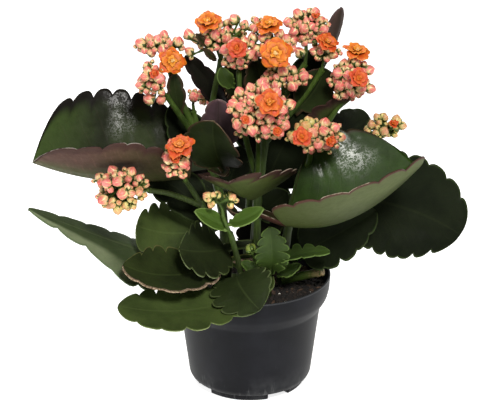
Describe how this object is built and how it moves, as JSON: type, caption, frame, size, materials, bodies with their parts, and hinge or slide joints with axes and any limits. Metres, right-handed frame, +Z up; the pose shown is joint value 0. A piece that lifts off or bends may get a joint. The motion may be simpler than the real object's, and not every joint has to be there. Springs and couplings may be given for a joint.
{
  "type": "potted kalanchoe",
  "caption": "Flowering succulent with broad scalloped leaves and branched heads of buds and double flowers, standing in a round nursery pot with a deep rim band.",
  "frame": {"origin": "on the pot's axis, at the height of the surface that the pot's feet stand on", "axes": "+Z up along the pot's axis, +X to the right along the widest spread of the leaves, -Y towards the front"},
  "size_m": [0.324, 0.2093, 0.2909],
  "materials": {
    "pot": "anthracite moulded plastic, dull with light scuffs",
    "soil": "dark damp peat with bits of bark",
    "leaf": "fleshy, waxy and glossy, dark green above and bronze beneath",
    "stem": "smooth yellow-green, satin",
    "bud": "waxy salmon pink over a yellow-green base, satin",
    "bloom": "soft orange petals, satin"
  },
  "bodies": {
    "root": {"pot": "pot", "soil": "soil", "stem_middle": "stem", "stem_left": "stem", "stem_front": "stem", "stem_right": "stem", "stem_front_left": "stem", "stem_front_low": "stem", "shoot_front": "stem", "stem_back": "stem", "leaf_left_upper": "leaf", "leaf_right_glossy": "leaf", "leaf_right_far": "leaf", "leaf_right_low": "leaf", "leaf_middle_bowl": "leaf", "leaf_inner_left": "leaf", "leaf_inner_back": "leaf", "leaf_top_left": "leaf", "leaf_top_right": "leaf", "leaf_upper_right": "leaf", "leaf_right_back": "leaf", "leaf_left_low": "leaf", "leaf_left_corky": "leaf", "leaf_left_middle": "leaf", "leaf_front_inner": "leaf", "leaf_front_wide": "leaf", "leaf_front_rim": "leaf", "leaf_back_left": "leaf", "leaf_back_middle": "leaf", "leaf_back_right": "leaf", "leaf_back_upper": "leaf", "head_top_right": "bud", "head_top_middle": "bud", "head_middle_right": "bud", "head_upper_right": "bud", "head_right": "bud", "head_far_right": "bud", "head_front": "bud", "head_front_right": "bud", "head_top_left": "bud", "head_upper_middle": "bud", "head_left_top": "bud", "head_left_upper": "bud", "head_left_inner": "bud", "head_front_left": "bud", "head_left_low": "bud", "head_front_low": "bud", "head_back_left": "bud", "head_back_right": "bud", "bloom_top_left": "bloom", "bloom_left_top": "bloom", "bloom_upper_middle": "bloom", "bloom_top_middle": "bloom", "bloom_middle": "bloom", "bloom_upper_right": "bloom", "bloom_right_top": "bloom", "bloom_right": "bloom", "bloom_front": "bloom", "bloom_front_right": "bloom", "bloom_front_left": "bloom"}
  },
  "joints": []
}
